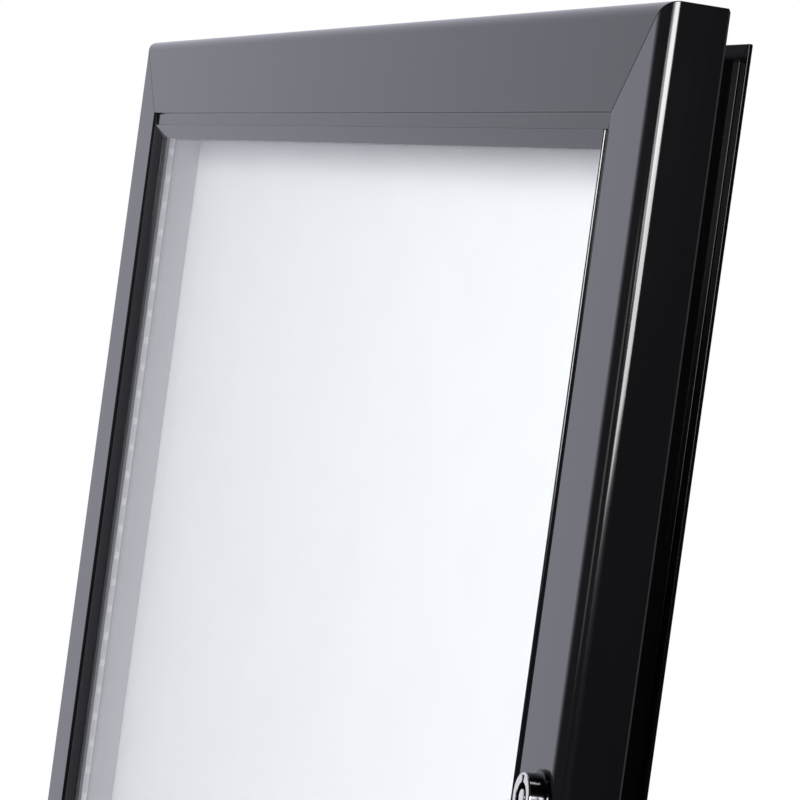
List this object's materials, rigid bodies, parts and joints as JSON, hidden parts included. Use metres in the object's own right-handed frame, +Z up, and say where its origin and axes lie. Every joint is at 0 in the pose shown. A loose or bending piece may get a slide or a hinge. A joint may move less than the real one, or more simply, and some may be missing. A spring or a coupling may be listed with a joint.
{
  "type": "menu display stand",
  "caption": "Lit, lockable, glazed menu case with a side-hung door, leaning back on a tilting head, a round post and a flat base plate.",
  "frame": {"origin": "on the floor under the middle of the base plate", "axes": "+Z up, +X to the right as seen from the front, the glazed face looks towards -Y"},
  "size_m": [0.93, 0.5, 1.5168],
  "materials": {
    "black_aluminium": "satin black anodised",
    "black_steel": "satin black powder coat",
    "zinc_plated": "zinc plated",
    "polished_chrome": "polished",
    "black_rubber": "matt",
    "black_plastic": "matt",
    "white_plastic": "matt",
    "white_panel": "smooth white coated",
    "lamp": "clear dome over a white lamp",
    "clear_glass": "clear"
  },
  "bodies": {
    "stand": {"base_plate": "black_steel", "base_pads": "black_rubber", "post_flange": "black_steel", "flange_bolts": "zinc_plated", "post_tube": "black_steel", "post_grommets": "black_rubber", "post_head": "black_steel", "head_screws": "zinc_plated", "tilt_bolt": "zinc_plated", "tilt_nut": "zinc_plated", "tilt_spacer": "zinc_plated", "clamp_bolt": "zinc_plated", "clamp_nut": "zinc_plated"},
    "case": {"tilt_bracket": "black_steel", "bracket_bolts": "zinc_plated", "back_rails": "black_steel", "rail_screws": "zinc_plated", "back_frame_top": "black_aluminium", "back_frame_bottom": "black_aluminium", "back_frame_left": "black_aluminium", "back_frame_right": "black_aluminium", "back_corner_cleats": "zinc_plated", "back_cleat_screws": "zinc_plated", "rear_sheet": "black_aluminium", "rear_sheet_screws": "zinc_plated", "display_panel": "white_panel", "white_liners": "white_panel", "led_strips": "white_plastic", "led_lamps": "lamp", "led_leads": "white_plastic", "cable_gland": "black_plastic", "door_seal": "black_rubber", "lock_strike": "zinc_plated", "strike_screws": "zinc_plated", "hinge_case_leaves": "zinc_plated", "hinge_case_screws": "zinc_plated", "hinge_pins": "zinc_plated"},
    "door": {"door_frame_top": "black_aluminium", "door_frame_bottom": "black_aluminium", "door_frame_left": "black_aluminium", "door_frame_right": "black_aluminium", "door_corner_cleats": "zinc_plated", "door_cleat_screws": "zinc_plated", "glazing": "clear_glass", "glazing_retainers": "black_plastic", "hinge_door_leaves": "zinc_plated", "hinge_door_screws": "zinc_plated", "lock_housing": "polished_chrome", "lock_nut": "zinc_plated"},
    "lock_cylinder": {"lock_plug": "polished_chrome", "lock_cam": "zinc_plated", "cam_nut": "zinc_plated"}
  },
  "joints": [
    {"name": "case_tilt", "type": "hinge", "parent": "stand", "child": "case", "pos_m": [0, 0.05, 1.165], "axis": [-1, 0, 0], "range_deg": [-8, 22]},
    {"name": "door_hinge", "type": "hinge", "parent": "case", "child": "door", "pos_m": [-0.4592, -0.01694, 1.17441], "axis": [0, -0.1392, -0.9903], "range_deg": [0, 110]},
    {"name": "lock_turn", "type": "hinge", "parent": "door", "child": "lock_cylinder", "pos_m": [0.45, -0.04624, 1.19872], "axis": [0, 0.9903, -0.1392], "range_deg": [0, 90]}
  ]
}
